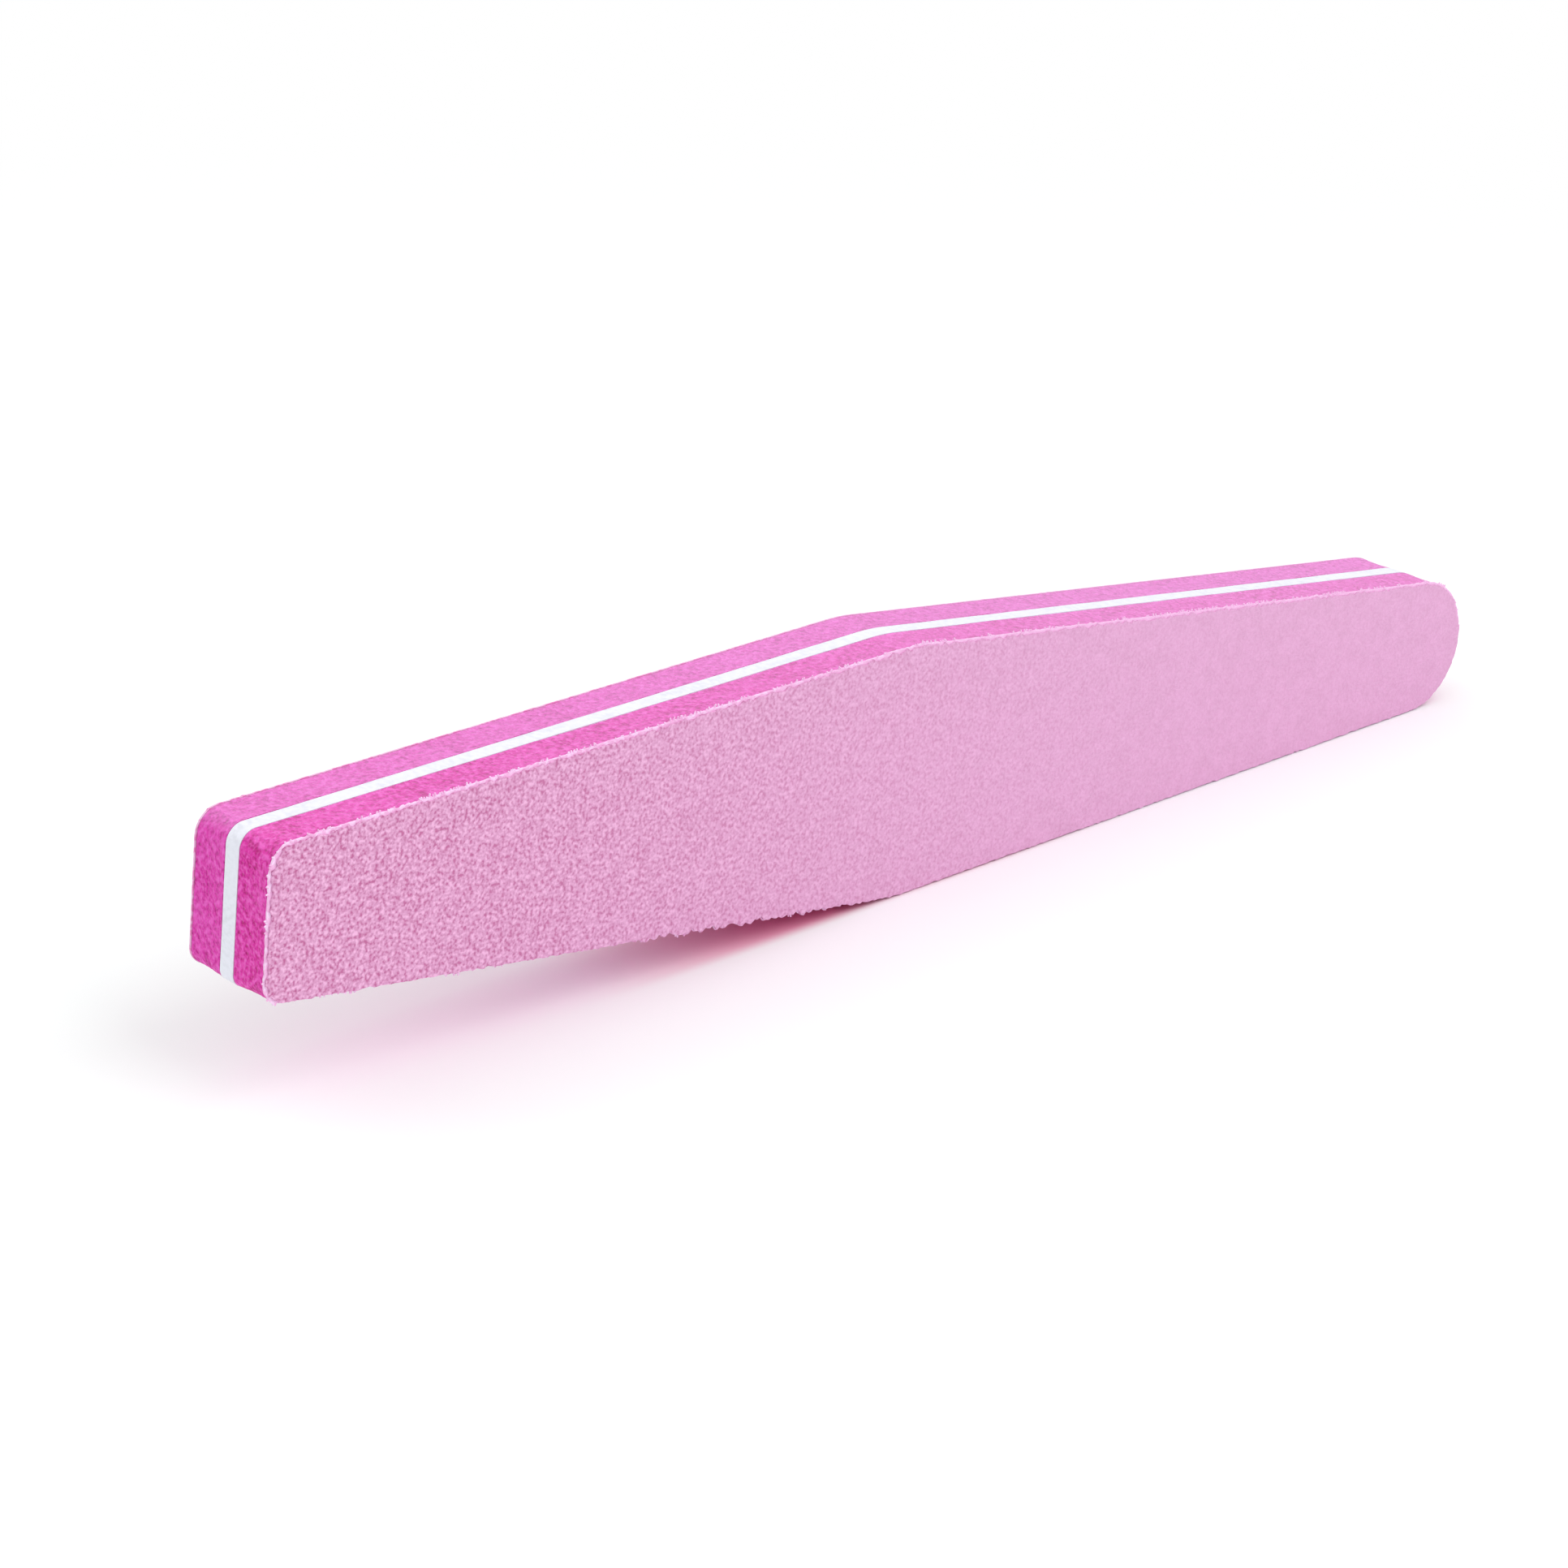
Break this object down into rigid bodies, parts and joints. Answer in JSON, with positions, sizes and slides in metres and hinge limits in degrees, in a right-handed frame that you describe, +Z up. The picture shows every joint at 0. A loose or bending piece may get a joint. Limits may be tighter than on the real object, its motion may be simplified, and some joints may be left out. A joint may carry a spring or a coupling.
{
  "type": "sponge nail file",
  "caption": "Laminated sponge nail file, tapering from a rounded waist to a square end and a round end, with abrasive faces over foam pads on a stiff core, for shaping and smoothing nails.",
  "frame": {"origin": "under the middle of the board's length and thickness, level with the lowest point of its lower edge", "axes": "+X along the board from the square end to the round end, +Y through its thickness from the front face to the rear face, +Z up across its width, with the board standing on its long edge"},
  "size_m": [0.18, 0.012, 0.028],
  "materials": {
    "core_plastic": "die-cut satin white plastic sheet",
    "adhesive": "thin clear bond line",
    "foam": "fine-celled sponge, matte",
    "backing_paper": "fibrous latex paper with a torn white edge",
    "grit": "coarse abrasive grain in tinted resin"
  },
  "bodies": {
    "root": {"core_board": "core_plastic", "front_core_adhesive": "adhesive", "rear_core_adhesive": "adhesive", "front_foam_pad": "foam", "rear_foam_pad": "foam", "front_sheet_adhesive": "adhesive", "rear_sheet_adhesive": "adhesive", "front_backing_sheet": "backing_paper", "rear_backing_sheet": "backing_paper", "front_grit_coat": "grit", "rear_grit_coat": "grit"}
  },
  "joints": []
}
